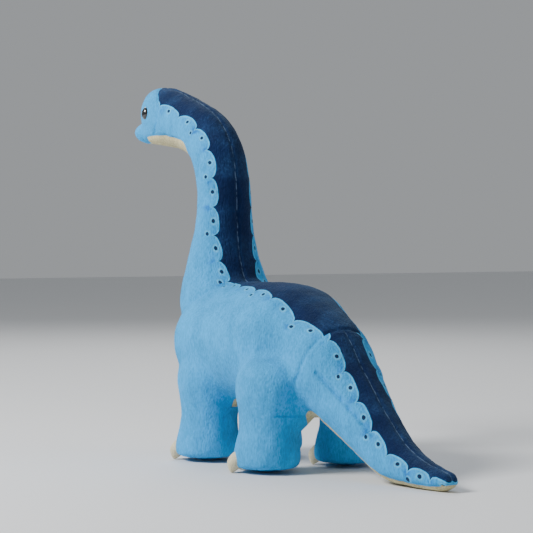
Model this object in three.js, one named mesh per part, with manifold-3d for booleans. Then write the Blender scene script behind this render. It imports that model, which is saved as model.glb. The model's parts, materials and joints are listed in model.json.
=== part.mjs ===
// A stuffed long-necked dinosaur: plush covers sewn over lumps of fibre filling, in millimetres.
// It faces -Y, its left side is +X and it stands on Z = 0.
// Each stuffed part is a swept oval: its spine lies in a plane of constant X and its sections are ellipses.
// A cover is a thin shell, cut into its panels, and the filling inside it ends in a ball where the part bends.
import * as THREE from 'three';
import { mergeVertices } from 'three/addons/utils/BufferGeometryUtils.js';
import Module from 'manifold-3d';

const wasm = await Module();
wasm.setup();

// ---- cloth and joints ----
const COVER = 2; // thickness of the plush cover
const GAP = 0.3; // clearance between pieces that touch
const BALL_ROOM = 1.075; // radius of the pocket at each bend, as a share of its ball's
const SIDES = 14; // sides of an oval section
const STRIP_SIDES = 8; // sides of the tube that cuts out a strip
const EYE_SIDES = 10; // sides of an eye and its washer
const BALL_SIDES = 12; // sides of the ball in a bend
const CLAW_SIDES = 8; // sides of a claw
const CLAW_RINGS = 6; // bands of a claw
const STEP = 24; // distance between sections along a spine
const CAP_RINGS = 2; // sections in a rounded end

// ---- overall sizes ----
const HIP_HEIGHT = 56; // where the legs bend, above the floor
const TORSO_LENGTH = 156; // chest to rump
const NECK_RISE = 115; // from where the neck bends up to where the head bends
const HEAD_LENGTH = 113; // from the back of the head to the snout
const TAIL_LENGTH = 144; // from where the tail lifts back to its tip
const FRONT_STANCE = 60; // between the middles of the front legs
const REAR_STANCE = 74; // between the middles of the rear legs
const FRONT_LEGS = -42; // Y of the front legs
const REAR_LEGS = 50; // Y of the rear legs

// ---- bends: the pivot as [y, z], the ball's radius and the turn that the filling clears, in degrees ----
const NECK_BEND = { at: [-0.4 * TORSO_LENGTH, HIP_HEIGHT + 68], ball: 25, turn: 11 };
const HEAD_BEND = { at: [NECK_BEND.at[0] - 13, NECK_BEND.at[1] + NECK_RISE], ball: 14, turn: 13 };
const TAIL_BEND = { at: [0.487 * TORSO_LENGTH, HIP_HEIGHT + 21], ball: 24, turn: 16 };
const TIP_AT = [TAIL_BEND.at[0] + 0.382 * TAIL_LENGTH, 0.44 * TAIL_BEND.at[1]];
const TIP_BEND = { at: TIP_AT, ball: 13, turn: 16 };
const LEG_BEND = { height: HIP_HEIGHT, ball: 17, turn: 11 };

// ---- stuffed parts: a spine of [y, z] points, with the full width and depth at each ----
// along() sets points out from a start, each as a share of a length and of a height.
function along([y, z], [length, height], shares) {
  return shares.map(([a, b]) => [y + a * length, z + b * height]);
}

const TORSO_SHARES = [[-0.54, 42], [-0.335, 38], [-0.03, 36], [0.23, 35], [0.462, 32]];
const NECK_SHARES = [[22, -0.24], [0, 0], [-5, 0.27], [-4, 0.53], [-5, 0.775], [-13, 1]];
const HEAD_SHARES = [[0, 0], [0.14, 17], [0.37, 27.5], [0.6, 33.5], [0.77, 35.5], [1, 25]];
const TAIL_SHARES = [[-0.125, 0.143], [0, 0], [0.153, -0.22]];
const TAIL_END_SHARES = [[0.542, 18.5], [0.708, 11.3], [0.861, 8.2], [1, 7.3]];
const LEG_SHARES = [[2, 1.57], [1, 1.1], [0, 0.61], [-2, 0.25], [-2, 0]];

const TORSO = {
  spine: along([0, HIP_HEIGHT], [TORSO_LENGTH, 1], TORSO_SHARES),
  width: [77, 104, 102, 97, 76],
  depth: [60, 86, 95, 94, 74],
  roundStart: 24,
  roundEnd: 20,
};
const NECK = {
  spine: along(NECK_BEND.at, [1, NECK_RISE], NECK_SHARES),
  width: [80, 80, 62, 49, 45, 43],
  depth: [70, 66, 50, 39, 39, 43],
  roundStart: 30,
  roundEnd: 0,
};
const HEAD = {
  spine: along(HEAD_BEND.at, [-HEAD_LENGTH, 1], HEAD_SHARES),
  width: [43, 41, 40, 41, 38, 30],
  depth: [43, 43, 44, 49, 50, 28],
  roundStart: 0,
  roundEnd: 12,
};
const TAIL = {
  spine: [...along(TAIL_BEND.at, [TAIL_LENGTH, TAIL_BEND.at[1]], TAIL_SHARES), TIP_BEND.at],
  width: [74, 71, 59, 43],
  depth: [74, 69, 55, 41],
  roundStart: 12,
  roundEnd: 0,
};
const TAIL_TIP = {
  spine: [TIP_BEND.at, ...along([TAIL_BEND.at[0], 0], [TAIL_LENGTH, 1], TAIL_END_SHARES)],
  width: [43, 37, 32, 24, 16],
  depth: [41, 34, 22, 16, 13],
  roundStart: 0,
  roundEnd: 8,
};
const LEG = {
  spine: along([0, 0], [1, HIP_HEIGHT], LEG_SHARES),
  width: [50, 49, 41, 48, 44],
  depth: [54, 52, 41, 50, 46],
  roundStart: 24,
  roundEnd: 0,
};

// ---- panels ----
const BELLY_WIDTH = 46; // cream panel between the legs
const THROAT_WIDTH = 22; // cream strip down the front of the neck
const JAW_WIDTH = 46; // cream lower jaw
const UNDERTAIL_WIDTH = 26; // cream strip under the tail
const SOLE = 2; // thickness of the sole
const STRIP_DEPTH = 0.8; // depth of the tube that cuts out a strip, as a share of its width

// ---- eyes and claws ----
const EYE = {
  height: 11,
  width: 9.4,
  bulge: 4,
  shank: 4,
  shankLength: 9,
  out: 16, // from the middle of the head
  along: 0.82, // share of the head's length
  up: 36, // above the bend behind the head
  facing: [0.93, -0.34, 0.12],
};
const WASHER = { diameter: 11, thickness: 1.2, depth: 4.4 };
const CLAW = { width: 12, height: 16, bulge: 6.5, angles: [-40, 14, 66] };
const FRONT_CLAW_TURN = -20; // how much further inwards the front feet's claws sit, in degrees

const SKY = '#5fb4e1';
const NAVY = '#12325f';
const CREAM = '#d9cfa6';
const FIBRE = '#f2f0ea';
const BLACK = '#08080a';

// ---- solids ----
function manifoldOf(positions, faces) {
  return new wasm.Manifold(new wasm.Mesh({
    numProp: 3,
    vertProperties: Float32Array.from(positions),
    triVerts: Uint32Array.from(faces),
  }));
}

function solid(geometry) {
  const bare = geometry.clone();
  bare.deleteAttribute('normal');
  bare.deleteAttribute('uv');
  const merged = mergeVertices(bare, 1e-4);
  return manifoldOf(merged.attributes.position.array, merged.index.array);
}

function box(low, high) {
  const size = high.map((v, i) => v - low[i]);
  const middle = high.map((v, i) => (v + low[i]) / 2);
  return solid(new THREE.BoxGeometry(...size)).translate(middle);
}

function ball(centre, radius) {
  return solid(new THREE.SphereGeometry(radius, BALL_SIDES, BALL_SIDES / 2)).translate(centre);
}

const FAR = 400;
const leftHalf = box([GAP / 2, -FAR, -FAR], [FAR, FAR, FAR]);
const rightHalf = box([-FAR, -FAR, -FAR], [-GAP / 2, FAR, FAR]);

// Distances along a spine at which it gets a section, closer together in its rounded ends.
function sectionPlaces(length, roundStart, roundEnd, inset) {
  const cap = (round) => Array.from({ length: round ? CAP_RINGS : 0 }, (_, i) => {
    const angle = (((i + 0.4) / CAP_RINGS) * Math.PI) / 2;
    return inset + (round - inset) * (1 - Math.cos(angle));
  });
  const middle = length - roundStart - roundEnd;
  const steps = Math.max(2, Math.round(middle / STEP));
  const straight = Array.from({ length: steps + 1 }, (_, i) => roundStart + (middle * i) / steps);
  return [
    ...cap(roundStart),
    ...straight,
    ...cap(roundEnd).reverse().map((s) => length - s),
  ];
}

function capScale(s, round, inset) {
  const reach = round - inset;
  if (!round || s - inset >= reach) return 1;
  return Math.sqrt(1 - (1 - (s - inset) / reach) ** 2);
}

// The spine's point, the direction across it towards +normal, and the half sizes, at a distance along it.
function sectionAt(part, spine, sizes, length, s) {
  const u = THREE.MathUtils.clamp(s / length, 0, 1);
  const tangent = spine.getTangentAt(u);
  const centre = spine.getPointAt(u).addScaledVector(tangent, s - u * length);
  const size = sizes.getPoint(spine.getUtoTmapping(u));
  return { centre, across: new THREE.Vector3(0, tangent.z, -tangent.y), half: size.multiplyScalar(0.5) };
}

// A closed oval sweep. inset shrinks it all over, and trim cuts back its flat ends.
function sweep(part, inset = 0, trim = 0, sides = SIDES) {
  const spine = new THREE.CatmullRomCurve3(part.spine.map(([y, z]) => new THREE.Vector3(0, y, z)));
  const sizes = new THREE.CatmullRomCurve3(part.width.map((w, i) => new THREE.Vector3(w, part.depth[i], 0)));
  const length = spine.getLength();
  const places = sectionPlaces(length, part.roundStart, part.roundEnd, inset);
  if (!part.roundStart) places[0] += trim;
  if (!part.roundEnd) places[places.length - 1] -= trim;
  const positions = [];
  for (const s of places) {
    const { centre, across, half } = sectionAt(part, spine, sizes, length, s);
    const scale = Math.min(capScale(s, part.roundStart, inset), capScale(length - s, part.roundEnd, inset));
    for (let k = 0; k < sides; k++) {
      const angle = (k / sides) * 2 * Math.PI;
      const x = Math.cos(angle) * (half.x - inset) * scale;
      const y = Math.sin(angle) * (half.y - inset) * scale;
      positions.push(x, centre.y + across.y * y, centre.z + across.z * y);
    }
  }
  return closedTube(positions, places.length, sides);
}

// Joins rings of points into a closed skin, with a fan over each end.
function closedTube(positions, rings, sides) {
  const faces = [];
  for (let r = 0; r < rings - 1; r++) {
    for (let k = 0; k < sides; k++) {
      const a = r * sides + k;
      const b = r * sides + ((k + 1) % sides);
      faces.push(a, b, a + sides, b, b + sides, a + sides);
    }
  }
  const last = (rings - 1) * sides;
  for (let k = 1; k < sides - 1; k++) {
    faces.push(0, k + 1, k, last, last + k, last + k + 1);
  }
  return manifoldOf(positions, faces);
}

// A narrow tube that follows the edge of a part on the given side of its spine, used to cut out a strip.
function strip(part, side, width, grow = 0) {
  const spine = new THREE.CatmullRomCurve3(part.spine.map(([y, z]) => new THREE.Vector3(0, y, z)));
  const edge = part.spine.map(([y, z], i) => {
    const tangent = spine.getTangent(i / (part.spine.length - 1));
    const reach = (side * part.depth[i]) / 2;
    return [y + tangent.z * reach, z - tangent.y * reach];
  });
  const constant = (value) => part.spine.map(() => value);
  const depth = constant(width * STRIP_DEPTH);
  const tube = { spine: edge, width: constant(width), depth, roundStart: 0, roundEnd: 0 };
  return sweep(tube, -grow, -COVER, STRIP_SIDES);
}

const without = (shape, cutters) => cutters.reduce((left, cutter) => left.subtract(cutter), shape);

// Turns a shape about a line along X (or Z) through a pivot.
function turned(shape, [x, y, z], degrees, axis = 'x') {
  const turn = axis === 'x' ? [degrees, 0, 0] : [0, 0, degrees];
  return shape.translate([-x, -y, -z]).rotate(turn).translate([x, y, z]);
}

const TURN_SHARES = [-1, -0.5, 0, 0.5, 1]; // of the full turn, at which a filling is cleared

// The part of a filling that stays clear of its neighbour while it turns both ways about a pivot.
function clearOf(shape, neighbour, pivot, degrees, axis = 'x') {
  return without(shape, TURN_SHARES.map((share) => turned(neighbour, pivot, share * degrees, axis)));
}

const biggest = (shape) => shape.decompose().sort((a, b) => b.volume() - a.volume())[0];

// ---- eyes: a domed button on a shank, held behind the cover by a washer ----
const EYE_DOME = [[0.9, 0.5], [0.6, 0.85], [0, 1]]; // shares of the rim's radius and of the bulge
const asPoints = (profile) => profile.map(([r, z]) => new THREE.Vector2(r, z));

function eyeProfile(grow) {
  const rim = EYE.height / 2 + grow;
  const shank = EYE.shank / 2 + grow;
  const foot = -EYE.shankLength - grow;
  const crown = EYE.bulge + grow;
  const dome = EYE_DOME.map(([across, up]) => [rim * across, crown * up]);
  return asPoints([[0, foot], [shank, foot], [shank, -grow], [rim, -grow], ...dome]);
}

function washerProfile(grow) {
  const inner = EYE.shank / 2 + GAP - grow;
  const outer = WASHER.diameter / 2 + grow;
  const top = -WASHER.depth + grow;
  const bottom = -WASHER.depth - WASHER.thickness - grow;
  return asPoints([[inner, bottom], [outer, bottom], [outer, top], [inner, top], [inner, bottom]]);
}

// Turns a profile about the eye's axis and sets it on the given side of the head.
function onHead(profile, squeeze, sign) {
  const facing = new THREE.Vector3(sign * EYE.facing[0], EYE.facing[1], EYE.facing[2]).normalize();
  const up = new THREE.Vector3(0, 0, 1).addScaledVector(facing, -facing.z).normalize();
  const basis = new THREE.Matrix4().makeBasis(up, facing, new THREE.Vector3().crossVectors(up, facing));
  const lathe = new THREE.LatheGeometry(profile, EYE_SIDES);
  const [backY, backZ] = HEAD_BEND.at;
  lathe.scale(1, 1, squeeze).applyMatrix4(basis);
  lathe.translate(sign * EYE.out, backY - EYE.along * HEAD_LENGTH, backZ + EYE.up);
  return solid(lathe);
}

// ---- outer shapes, hollows and fillings ----
const INSIDE = COVER + GAP; // depth of the filling below the outer face
const torso = sweep(TORSO);
const neck = sweep(NECK);
const head = sweep(HEAD, 0, GAP);
const tail = sweep(TAIL);
const tip = sweep(TAIL_TIP, 0, GAP);
const legs = [
  ['front_left', FRONT_STANCE / 2, FRONT_LEGS, FRONT_CLAW_TURN],
  ['front_right', -FRONT_STANCE / 2, FRONT_LEGS, FRONT_CLAW_TURN],
  ['rear_left', REAR_STANCE / 2, REAR_LEGS, 0],
  ['rear_right', -REAR_STANCE / 2, REAR_LEGS, 0],
].map(([name, x, y, clawTurn]) => ({ name, x, y, clawTurn, outer: sweep(LEG).translate([x, y, 0]) }));

const group = new THREE.Group();
function add(name, shape, colour, roughness = 0.9) {
  const data = shape.getMesh();
  const geometry = new THREE.BufferGeometry();
  geometry.setAttribute('position', new THREE.BufferAttribute(Float32Array.from(data.vertProperties), 3));
  geometry.setIndex(new THREE.BufferAttribute(Uint32Array.from(data.triVerts), 1));
  geometry.computeVertexNormals();
  const cloth = new THREE.MeshStandardMaterial({ color: colour, roughness, metalness: 0 });
  const mesh = new THREE.Mesh(geometry, cloth);
  mesh.name = name;
  group.add(mesh);
}

const pivotOf = (bend) => [0, ...bend.at];
const shell = (part, outer) => outer.subtract(sweep(part, COVER, -COVER));
const onLeg = (shape, leg) => shape.translate([leg.x, leg.y, 0]);

// Each part grown by the clearance, which its neighbours are cut by, and the soft insides that they turn in.
const torsoRoom = sweep(TORSO, -GAP);
const neckRoom = sweep(NECK, -GAP, -GAP);
const tailRoom = sweep(TAIL, -GAP, -GAP);
const legRooms = legs.map((leg) => onLeg(sweep(LEG, -GAP), leg));
const torsoHollow = sweep(TORSO, INSIDE);
const neckHollow = sweep(NECK, INSIDE);
const tailHollow = sweep(TAIL, INSIDE);
// The same insides with the clearance round them, which a turning filling must stay out of.
const torsoReach = sweep(TORSO, INSIDE - GAP, -GAP);
const neckReach = sweep(NECK, INSIDE - GAP, -GAP);
const tailReach = sweep(TAIL, INSIDE - GAP, -GAP);

// Cuts a cover along its edge strip and its middle, and adds the strip and the two sides.
function addPanels(names, cover, part, side, width, colour) {
  const sides = cover.subtract(strip(part, side, width, GAP));
  add(names.left, biggest(sides.intersect(leftHalf)), colour);
  add(names.right, biggest(sides.intersect(rightHalf)), colour);
  add(names.strip, biggest(cover.intersect(strip(part, side, width))), CREAM);
}

const panelNames = (part, strip) => ({ left: `${part}_cover_left`, right: `${part}_cover_right`, strip });

// ---- torso ----
const torsoCover = without(shell(TORSO, torso), [neckRoom, tailRoom, ...legRooms]);
addPanels(panelNames('torso', 'belly_panel'), torsoCover, TORSO, 1, BELLY_WIDTH, SKY);
const pocket = (bend) => ball(pivotOf(bend), bend.ball * BALL_ROOM);
const hips = legs.map((leg) => [leg.x, leg.y, LEG_BEND.height]);
const hipPockets = hips.map((hip) => ball(hip, LEG_BEND.ball * BALL_ROOM));
const torsoPockets = [pocket(NECK_BEND), pocket(TAIL_BEND), ...hipPockets];
add('torso_filling', biggest(without(torsoHollow, torsoPockets)), FIBRE);

// ---- neck ----
const neckCover = shell(NECK, neck).subtract(torsoRoom);
addPanels(panelNames('neck', 'throat_strip'), neckCover, NECK, -1, THROAT_WIDTH, NAVY);
const neckShaft = clearOf(neckHollow.subtract(torsoRoom), torsoReach, pivotOf(NECK_BEND), NECK_BEND.turn);
const neckBall = ball(pivotOf(NECK_BEND), NECK_BEND.ball);
add('neck_filling', biggest(neckShaft.add(neckBall).subtract(pocket(HEAD_BEND))), FIBRE);

// ---- head ----
const headHollow = sweep(HEAD, INSIDE).subtract(neckRoom);
const headShaft = clearOf(headHollow, neckReach, pivotOf(HEAD_BEND), HEAD_BEND.turn);
let headCover = shell(HEAD, head).subtract(neckRoom);
let headFilling = headShaft.add(ball(pivotOf(HEAD_BEND), HEAD_BEND.ball));
for (const [side, sign] of [['left', 1], ['right', -1]]) {
  const squeeze = EYE.width / EYE.height;
  const room = onHead(eyeProfile(GAP), squeeze, sign);
  add(`eye_${side}`, onHead(eyeProfile(0), squeeze, sign), BLACK, 0.1);
  add(`eye_washer_${side}`, onHead(washerProfile(0), 1, sign), FIBRE, 0.5);
  headCover = headCover.subtract(room);
  headFilling = without(headFilling, [room, onHead(washerProfile(GAP), 1, sign)]);
}
addPanels(panelNames('head', 'lower_jaw'), headCover, HEAD, -1, JAW_WIDTH, SKY);
add('head_filling', biggest(headFilling), FIBRE);

// ---- tail: a root that lifts and a tip that sways ----
const tailCover = without(shell(TAIL, tail), [torsoRoom, ...legRooms]);
addPanels(panelNames('tail', 'tail_underside'), tailCover, TAIL, 1, UNDERTAIL_WIDTH, NAVY);
const tailShaft = clearOf(tailHollow.subtract(torsoRoom), torsoReach, pivotOf(TAIL_BEND), TAIL_BEND.turn);
const tailBall = ball(pivotOf(TAIL_BEND), TAIL_BEND.ball);
add('tail_filling', biggest(without(tailShaft.add(tailBall), [pocket(TIP_BEND), ...legRooms])), FIBRE);

const tipCover = shell(TAIL_TIP, tip).subtract(tailRoom);
addPanels(panelNames('tail_tip', 'tail_tip_underside'), tipCover, TAIL_TIP, 1, UNDERTAIL_WIDTH, NAVY);
const tipHollow = sweep(TAIL_TIP, INSIDE).subtract(tailRoom);
const tipShaft = clearOf(tipHollow, tailReach, pivotOf(TIP_BEND), TIP_BEND.turn, 'z');
add('tail_tip_filling', biggest(tipShaft.add(ball(pivotOf(TIP_BEND), TIP_BEND.ball))), FIBRE);

// ---- legs ----
function claw(leg, angle) {
  const sign = Math.sign(leg.x);
  const turn = THREE.MathUtils.degToRad(angle);
  const [footY] = LEG.spine.at(-2);
  const sideways = (Math.sin(turn) * LEG.width.at(-2)) / 2;
  const forwards = (Math.cos(turn) * LEG.depth.at(-2)) / 2;
  const nail = new THREE.SphereGeometry(1, CLAW_SIDES, CLAW_RINGS);
  nail.scale(CLAW.width / 2, CLAW.bulge, CLAW.height / 2).rotateZ(sign * turn);
  nail.translate(leg.x + sign * sideways, leg.y + footY - forwards, CLAW.height / 2 + GAP);
  return solid(nail);
}

legs.forEach((leg, i) => {
  const name = (piece) => `${leg.name}_leg_${piece}`;
  const sign = Math.sign(leg.x);
  const aboveSole = box([-FAR, -FAR, SOLE + GAP], [FAR, FAR, FAR]);
  const bodyRoom = [torsoRoom, tailRoom];
  const cover = without(onLeg(shell(LEG, sweep(LEG)), leg).intersect(aboveSole), bodyRoom);
  const halves = { 1: leftHalf.translate([leg.x, 0, 0]), [-1]: rightHalf.translate([leg.x, 0, 0]) };
  add(name('cover_outer'), biggest(cover.intersect(halves[sign])), SKY);
  add(name('cover_inner'), biggest(cover.intersect(halves[-sign])), SKY);
  add(name('sole'), leg.outer.subtract(box([-FAR, -FAR, SOLE], [FAR, FAR, FAR])), SKY);
  const hollow = onLeg(sweep(LEG, INSIDE), leg).subtract(torsoRoom);
  const shaft = clearOf(hollow, torsoReach, hips[i], LEG_BEND.turn).intersect(aboveSole);
  add(name('filling'), biggest(shaft.add(ball(hips[i], LEG_BEND.ball)).subtract(tailRoom)), FIBRE);
  CLAW.angles.forEach((angle, k) => {
    add(name(`claw_${k + 1}`), biggest(claw(leg, angle + leg.clawTurn).subtract(legRooms[i])), CREAM, 0.8);
  });
});

// ---- the origin is the middle of the underside of the toy's bounding box ----
const bounds = new THREE.Box3().setFromObject(group);
const middle = bounds.getCenter(new THREE.Vector3());
group.position.set(-middle.x, -middle.y, -bounds.min.z);

export default group;
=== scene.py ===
# %% [markdown]
# # A stuffed long-necked dinosaur
# The toy is short-pile plush sewn over fibre filling. Its cover is made of panels: two printed sides, a cream
# panel under the belly, throat and tail, a plain face, four stuffed legs and small cream claws.
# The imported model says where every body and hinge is. This script makes one fine skin over it, inflates the
# skin as the filling does, cuts it along the real seams, and gives each panel its cloth.

# %% Load the frame
import json
import math

import bmesh
import bpy
import numpy as np
from mathutils import Matrix, Vector


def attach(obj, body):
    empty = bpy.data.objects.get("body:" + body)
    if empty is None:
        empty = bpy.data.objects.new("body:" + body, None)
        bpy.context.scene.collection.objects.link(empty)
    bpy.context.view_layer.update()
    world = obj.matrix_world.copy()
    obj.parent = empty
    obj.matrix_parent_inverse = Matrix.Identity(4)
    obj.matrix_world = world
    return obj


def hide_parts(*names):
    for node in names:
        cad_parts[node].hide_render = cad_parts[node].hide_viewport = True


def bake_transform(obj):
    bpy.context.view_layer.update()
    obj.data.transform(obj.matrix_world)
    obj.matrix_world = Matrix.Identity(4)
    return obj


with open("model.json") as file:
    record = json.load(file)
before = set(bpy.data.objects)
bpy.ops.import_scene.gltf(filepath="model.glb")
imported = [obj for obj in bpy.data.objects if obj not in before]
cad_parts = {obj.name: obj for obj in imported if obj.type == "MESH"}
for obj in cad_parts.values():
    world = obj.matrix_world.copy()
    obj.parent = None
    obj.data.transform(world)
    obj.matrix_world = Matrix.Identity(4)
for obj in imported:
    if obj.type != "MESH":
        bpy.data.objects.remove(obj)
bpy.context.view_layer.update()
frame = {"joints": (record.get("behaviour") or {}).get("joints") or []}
MM = 0.001
pivot = {joint["name"]: np.array(joint["pos_m"]) for joint in frame["joints"]}
LEGS = ["front_left", "front_right", "rear_left", "rear_right"]
hip = {leg: pivot[leg + "_leg_swing"] for leg in LEGS}
hips_middle = sum(hip.values()) / len(hip)
neck_base, nape = pivot["neck_lean"], pivot["head_nod"]
rump, tail_middle = pivot["tail_lift"], pivot["tail_sway"]
print("hinges:", sorted(pivot))

# %% [markdown]
# ## Camera, floor and light
# A toy this long looks natural from far off through a long lens, a little above the tabletop. The light is a
# large soft box on the left, a weaker one on the right and a third behind, so that the pile shows its nap.

# %% Camera
VIEW_AZIMUTH = math.radians(145.5)
VIEW_ELEVATION = math.radians(0.9)
VIEW_DISTANCE = 1.5
VIEW_WIDTH = 0.4077
SENSOR = 36


def toward_camera(azimuth, elevation):
    return Vector((
        math.sin(azimuth) * math.cos(elevation),
        -math.cos(azimuth) * math.cos(elevation),
        math.sin(elevation),
    ))


aim = Vector((0.0104, -0.0071, 0.1519))
camera_data = bpy.data.cameras.new("camera")
camera_data.sensor_width = SENSOR
camera_data.lens = SENSOR * VIEW_DISTANCE / VIEW_WIDTH
camera = bpy.data.objects.new("camera", camera_data)
back = toward_camera(VIEW_AZIMUTH, VIEW_ELEVATION)
camera.location = aim + back * VIEW_DISTANCE
camera.rotation_mode = "QUATERNION"
camera.rotation_quaternion = (-back).to_track_quat("-Z", "Y")
bpy.context.scene.collection.objects.link(camera)
bpy.context.scene.camera = camera
print("lens: %.0f mm" % camera_data.lens)


# %% Floor and lights
LIGHT_AIM = Vector((0, 0, 0.12))


def soft_box(name, azimuth, elevation, distance, size, power):
    light = bpy.data.lights.new(name, "AREA")
    light.shape = "DISK"
    light.size = size
    light.energy = power
    lamp = bpy.data.objects.new(name, light)
    direction = toward_camera(math.radians(azimuth), math.radians(elevation))
    lamp.location = LIGHT_AIM + direction * distance
    lamp.rotation_mode = "QUATERNION"
    lamp.rotation_quaternion = (-direction).to_track_quat("-Z", "Y")
    bpy.context.scene.collection.objects.link(lamp)


soft_box("key_light", 78, 38, 1.6, 0.6, 34)
soft_box("fill_light", 215, 30, 2.0, 1.4, 5)
soft_box("front_light", 335, 40, 2.0, 1.2, 14)

bpy.ops.mesh.primitive_plane_add(size=12)
floor = bpy.context.object
floor.name = "floor"
floor_paint = bpy.data.materials.new("pale floor")
floor_paint.use_nodes = True
floor_shader = floor_paint.node_tree.nodes["Principled BSDF"]
floor_shader.inputs["Base Color"].default_value = (0.74, 0.75, 0.76, 1)
floor_shader.inputs["Roughness"].default_value = 0.75
floor.data.materials.append(floor_paint)

world = bpy.data.worlds.new("studio")
world.use_nodes = True
background = world.node_tree.nodes["Background"]
background.inputs["Color"].default_value = (0.80, 0.83, 0.86, 1)
background.inputs["Strength"].default_value = 0.42
bpy.context.scene.world = world
print("lights and floor are set")

# %% [markdown]
# ## The form under the cloth
# Each stuffed part is an oval swept along a bent spine. A row of the tables below is a point of the spine,
# measured from the part's own hinge, with the full width and depth there, in millimetres. The ovals could
# be sculpted by hand, but a table keeps each one tied to its hinge.

# %% Rows of the stuffed parts
TORSO = [(-90, 42, 80, 62), (-57, 38, 106, 88), (-9, 36, 104, 96), (32, 35, 99, 94), (68, 32, 77, 74)]
NECK = [
    (22, -28, 80, 70), (0, 0, 80, 66), (-5, 31, 62, 50),
    (-4, 61, 49, 39), (-5, 89, 45, 39), (-13, 115, 43, 43),
]
HEAD = [
    (0, 0, 43, 43), (-16, 17, 42, 43), (-42, 27.5, 41, 44),
    (-66, 33.5, 41, 48), (-84, 36.5, 40, 49), (-101, 35, 36, 43),
]
TAIL = [(-18, 11, 74, 74), (0, 0, 71, 69), (22, -17, 59, 55), (55, -43, 43, 41)]
TAIL_TIP = [
    (0, 0, 43, 41), (23, -15.5, 37, 34), (47, -22.7, 32, 23),
    (69, -25.8, 24, 17), (89, -26.7, 16, 13.5),
]
LEG = [
    (2, 32, 52, 56), (1, 6, 51, 54), (0, -20, 44, 45),
    (-2, -40, 49, 52), (-3, -50, 50, 54), (-3, -55.5, 46, 50),
]
ROW_STEPS = 24


def catmull(points, steps):
    """A smooth line through the points, with so many steps between each two."""
    points = np.asarray(points, float)
    padded = np.vstack([2 * points[0] - points[1], points, 2 * points[-1] - points[-2]])
    t = (np.arange(steps) / steps)[:, None]
    pieces = []
    for before, a, b, after in zip(padded, padded[1:], padded[2:], padded[3:]):
        cubic = -before + 3 * a - 3 * b + after
        square = 2 * before - 5 * a + 4 * b - after
        pieces.append(0.5 * (2 * a + (b - before) * t + square * t**2 + cubic * t**3))
    return np.vstack(pieces + [points[-1:]])


def placed(rows, origin):
    """Rows moved from their hinge to the frame, in metres."""
    return np.array(rows, float) * MM + np.r_[origin[1:], 0, 0]


def spine_of(rows):
    """Fine rows of y, z, width and depth, and the direction across the spine."""
    fine = catmull(rows, ROW_STEPS)
    run = np.gradient(fine[:, :2], axis=0)
    run /= np.linalg.norm(run, axis=1)[:, None]
    return fine, np.stack([run[:, 1], -run[:, 0]], axis=1)


# the neck runs on into the head, and the torso into the tail, so each pair is one spine
NECK_AND_HEAD = np.vstack([placed(NECK, neck_base)[:-1], placed(HEAD, nape)])
BODY_AND_TAIL = np.vstack([
    placed(TORSO, hips_middle)[:-1],
    placed(TAIL, rump),
    placed(TAIL_TIP, tail_middle)[1:],
])
print("rows: %d up the neck, %d along the body" % (len(NECK_AND_HEAD), len(BODY_AND_TAIL)))

# %% [markdown]
# A sweep places rings of points along the spine, rounds its ends, and closes them. A few eggs fill out what
# isn't a sweep: the muzzle, the jaw, the chest and the cloth between the rear legs.

# %% Sweep the ovals
RING_SIDES = 40
RING_STEP = 3 * MM
END_MARGIN = 0.1 * MM


def sweep(rows, round_start, round_end, x=0.0):
    """Points and faces of a closed oval sweep, its two ends rounded over the lengths given."""
    fine, across = spine_of(rows)
    lengths = np.r_[0, np.cumsum(np.linalg.norm(np.diff(fine[:, :2], axis=0), axis=1))]
    places = np.linspace(END_MARGIN, lengths[-1] - END_MARGIN, int(lengths[-1] / RING_STEP) + 2)
    angle = np.arange(RING_SIDES) / RING_SIDES * 2 * math.pi
    rings = []
    for s in places:
        y, z, width, depth = [np.interp(s, lengths, fine[:, k]) for k in range(4)]
        side = [np.interp(s, lengths, across[:, k]) for k in range(2)]
        shrink = 1.0
        for gap, radius in ((s, round_start), (lengths[-1] - s, round_end)):
            if gap < radius:
                shrink *= math.sqrt(1 - (1 - gap / radius) ** 2)
        out = np.sin(angle) * (depth / 2) * shrink
        rings.append(np.stack([
            x + np.cos(angle) * (width / 2) * shrink,
            y + side[0] * out,
            z + side[1] * out,
        ], axis=1))
    faces = []
    for r in range(len(rings) - 1):
        for k in range(RING_SIDES):
            a, b = r * RING_SIDES + k, r * RING_SIDES + (k + 1) % RING_SIDES
            faces.append((a, b, b + RING_SIDES, a + RING_SIDES))
    faces.append(tuple(range(RING_SIDES))[::-1])
    faces.append(tuple(range((len(rings) - 1) * RING_SIDES, len(rings) * RING_SIDES)))
    return np.vstack(rings), faces


def unit_ball(around, upward):
    """Points and faces of a ball of radius 1."""
    ball = bmesh.new()
    bmesh.ops.create_uvsphere(ball, u_segments=around, v_segments=upward, radius=1)
    points = np.array([v.co for v in ball.verts])
    faces = [tuple(v.index for v in face.verts) for face in ball.faces]
    ball.free()
    return points, faces


def egg(centre, radii):
    """Points and faces of an ellipsoid."""
    points, faces = unit_ball(32, 20)
    return points * np.array(radii) * MM + centre, faces


def at(origin, x, y, z):
    return origin + np.array([x, y, z]) * MM


body_parts = [
    sweep(BODY_AND_TAIL, 0.026, 0.009),
    sweep(NECK_AND_HEAD, 0.030, 0.013),
    egg(at(nape, 0, -103.5, 23.0), (16.5, 12.5, 9.6)),  # muzzle
    egg(at(nape, 0, -73, 20), (17, 33, 9)),  # jaw
    egg(at(hips_middle, 0, -66, 16), (34, 30, 36)),  # chest
    egg(at(hips_middle, 0, 40, -2), (22, 30, 16)),  # between the rear legs
    egg(at(hips_middle, 24, 56, -8), (20, 16, 18)),  # behind the left one
    egg(at(hips_middle, -24, 56, -8), (20, 16, 18)),  # behind the right one
]
body_parts += [sweep(placed(LEG, hip[leg]), 0.024, 0.004, x=hip[leg][0]) for leg in LEGS]
print("stuffed parts:", len(body_parts))


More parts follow.
